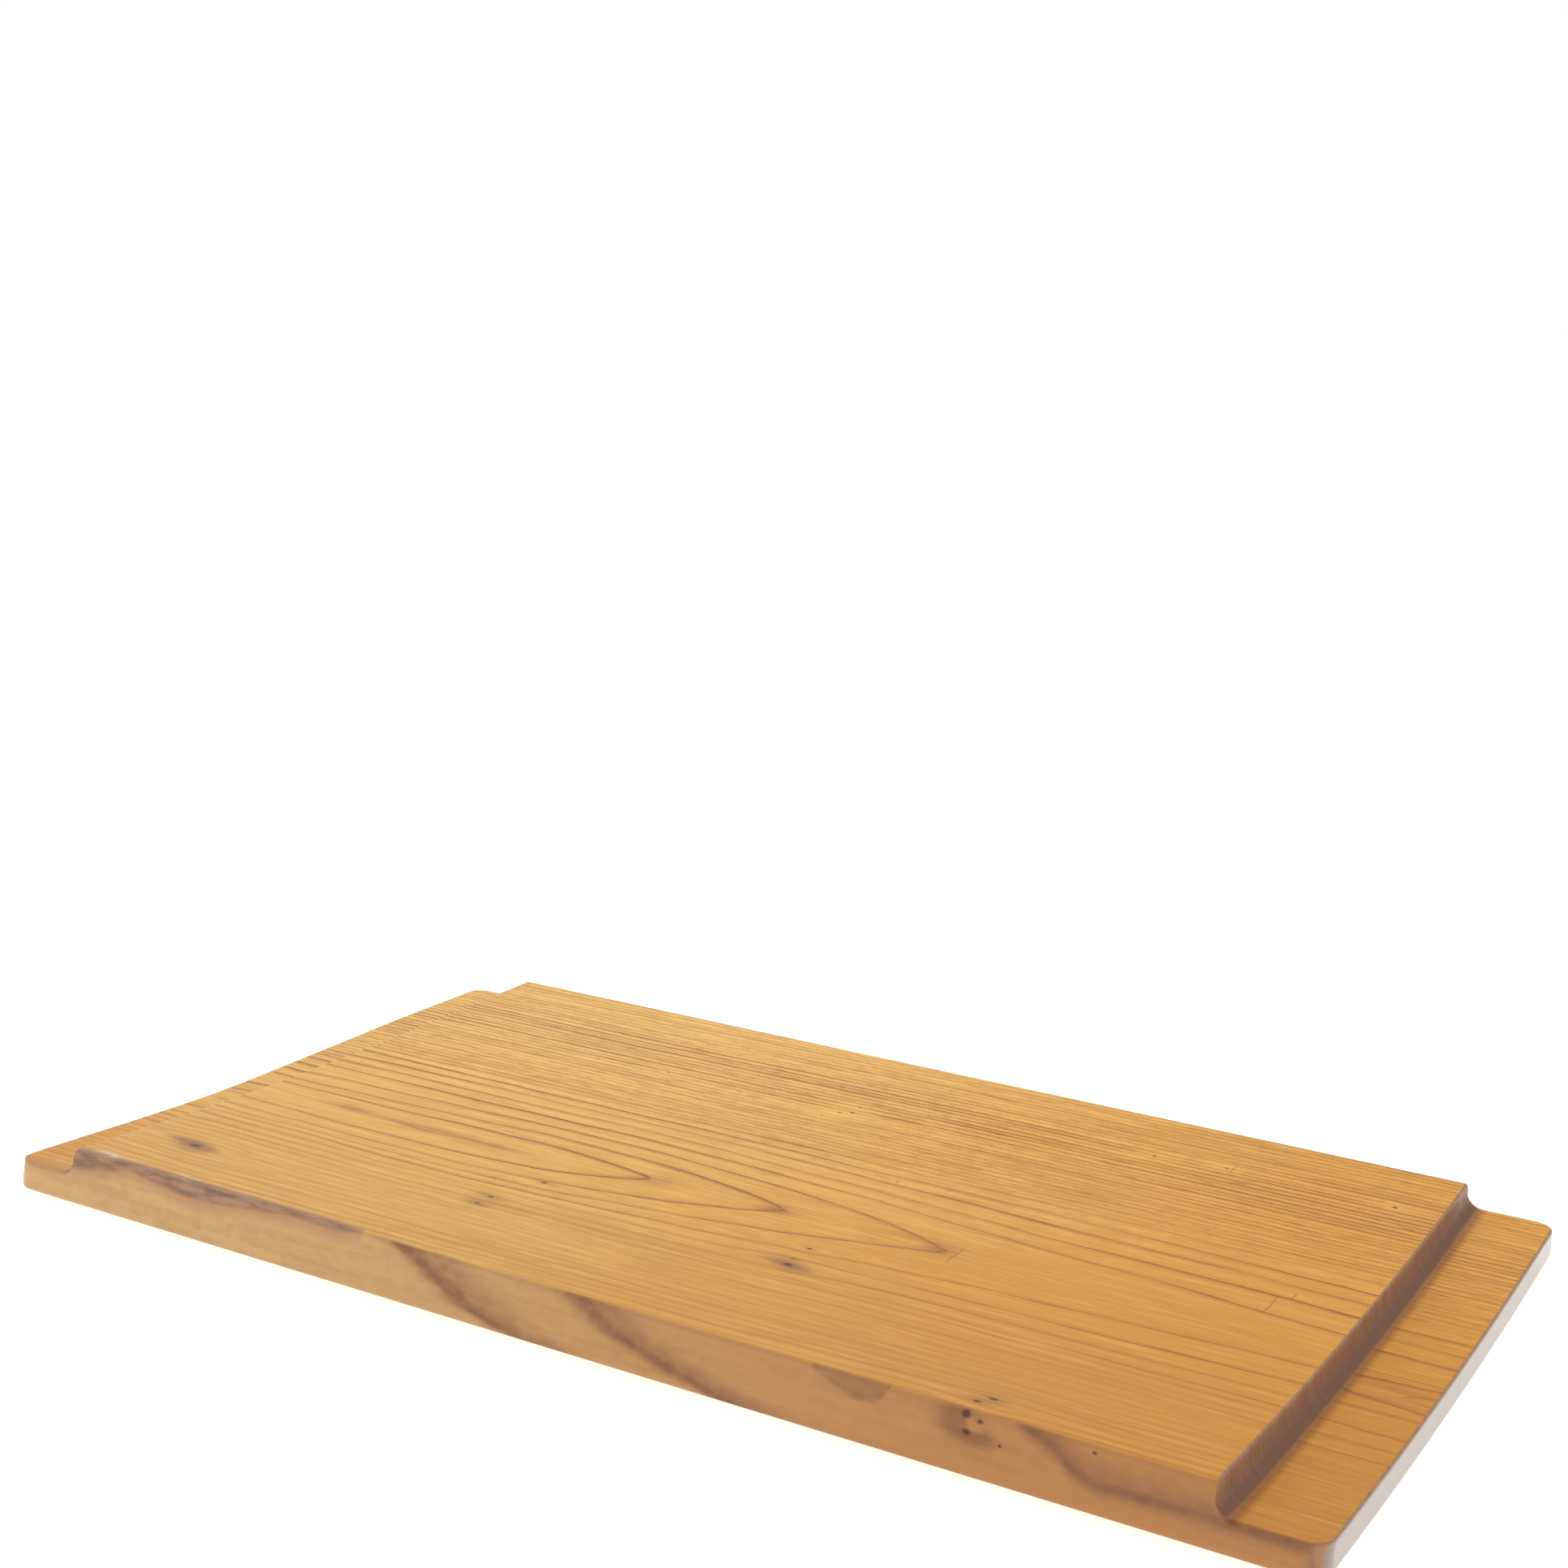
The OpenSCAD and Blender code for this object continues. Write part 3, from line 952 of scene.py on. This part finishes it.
def camera_matrix(heading, pitch, roll, place):
    """Camera that looks along a heading, measured from +Y towards -X, down by a pitch, and is
    then turned about its own view by a roll."""
    level = math.cos(pitch)
    ahead = Vector((-math.sin(heading) * level, math.cos(heading) * level, -math.sin(pitch)))
    right = ahead.cross(Vector((0, 0, 1))).normalized()
    up = right.cross(ahead)
    turned = math.cos(roll) * right + math.sin(roll) * up
    rise = math.cos(roll) * up - math.sin(roll) * right
    return Matrix.Translation(place) @ Matrix((turned, rise, -ahead)).transposed().to_4x4()


WHITE = (1, 1, 1, 1)
FLOOR_REACH = 30.0  # half width of the floor, in metres
FLOOR_GAP = 0.0001  # clearance under the tray, so that the floor never touches it
SOFTBOX_SIZE = (1.6, 1.0)


class TRAY_OT_set_stage(bpy.types.Operator):
    """Set the stage: plain pale floor, white surroundings, one softbox and the camera"""

    bl_idname = "tray.set_stage"
    bl_label = "Set the stage"

    def execute(self, context):
        g = context.scene.stage_settings
        scene = context.scene
        sheet = FinishSheet("pale_floor")
        sheet.finish("ShaderNodeBsdfPrincipled", {
            "Base Color": paint(g.floor_colour),
            "Roughness": 0.8,
            "Emission Color": WHITE,
            "Emission Strength": g.floor_glow,
        })
        mesh = bpy.data.meshes.new("pale_floor")
        corners = ((-1, -1), (1, -1), (1, 1), (-1, 1))
        places = [(a * FLOOR_REACH, b * FLOOR_REACH, LOW.z - FLOOR_GAP) for a, b in corners]
        mesh.from_pydata(places, [], [(0, 1, 2, 3)])
        mesh.materials.append(sheet.material)
        floor = bpy.data.objects.new("pale_floor", mesh)
        scene.collection.objects.link(floor)
        world = bpy.data.worlds.new("white_surroundings")
        world.use_nodes = True
        sky = world.node_tree.nodes["Background"].inputs
        sky["Color"].default_value, sky["Strength"].default_value = WHITE, g.sky
        scene.world = world
        lamp = bpy.data.lights.new("softbox", "AREA")
        lamp.shape, lamp.energy = "RECTANGLE", g.softbox
        lamp.size, lamp.size_y = SOFTBOX_SIZE
        box = bpy.data.objects.new("softbox", lamp)
        place = Vector(g.softbox_place)
        facing_tray = place.to_track_quat("Z", "Y").to_matrix().to_4x4()
        box.matrix_world = Matrix.Translation(place) @ facing_tray
        scene.collection.objects.link(box)
        data = bpy.data.cameras.new("camera")
        data.lens, data.sensor_width = g.lens, 36.0
        data.clip_start, data.clip_end = 0.01, 100.0
        camera = bpy.data.objects.new("camera", data)
        camera.matrix_world = camera_matrix(g.heading, g.pitch, g.roll, g.camera_place)
        scene.collection.objects.link(camera)
        scene.camera = camera
        scene.view_settings.view_transform = "Standard"
        return {"FINISHED"}


class TRAY_PT_panel(bpy.types.Panel):
    """Buttons and settings of the tray"""

    bl_idname = "TRAY_PT_panel"
    bl_label = "Serving tray"
    bl_space_type = "VIEW_3D"
    bl_region_type = "UI"
    bl_category = "Tray"

    def draw(self, context):
        for operator, settings in (
            (TRAY_OT_carve_plank, (context.scene.tray_sizes, context.scene.lacquer_finish)),
            (TRAY_OT_set_stage, (context.scene.stage_settings,)),
        ):
            self.layout.operator(operator.bl_idname)
            column = self.layout.column()
            for group in settings:
                for name in type(group).__annotations__:
                    column.prop(group, name)


CLASSES = (
    TraySizes, LacquerFinish, StageSettings, TRAY_OT_carve_plank, TRAY_OT_set_stage, TRAY_PT_panel,
)


def register():
    for cls in CLASSES:
        bpy.utils.register_class(cls)
    bpy.types.Scene.tray_sizes = PointerProperty(type=TraySizes)
    bpy.types.Scene.lacquer_finish = PointerProperty(type=LacquerFinish)
    bpy.types.Scene.stage_settings = PointerProperty(type=StageSettings)


def unregister():
    del bpy.types.Scene.tray_sizes, bpy.types.Scene.lacquer_finish, bpy.types.Scene.stage_settings
    for cls in reversed(CLASSES):
        bpy.utils.unregister_class(cls)


def main():
    """Makes the tray and its stage."""
    register()
    bpy.ops.tray.carve_plank()
    bpy.ops.tray.set_stage()


if __name__ == "__main__":
    main()
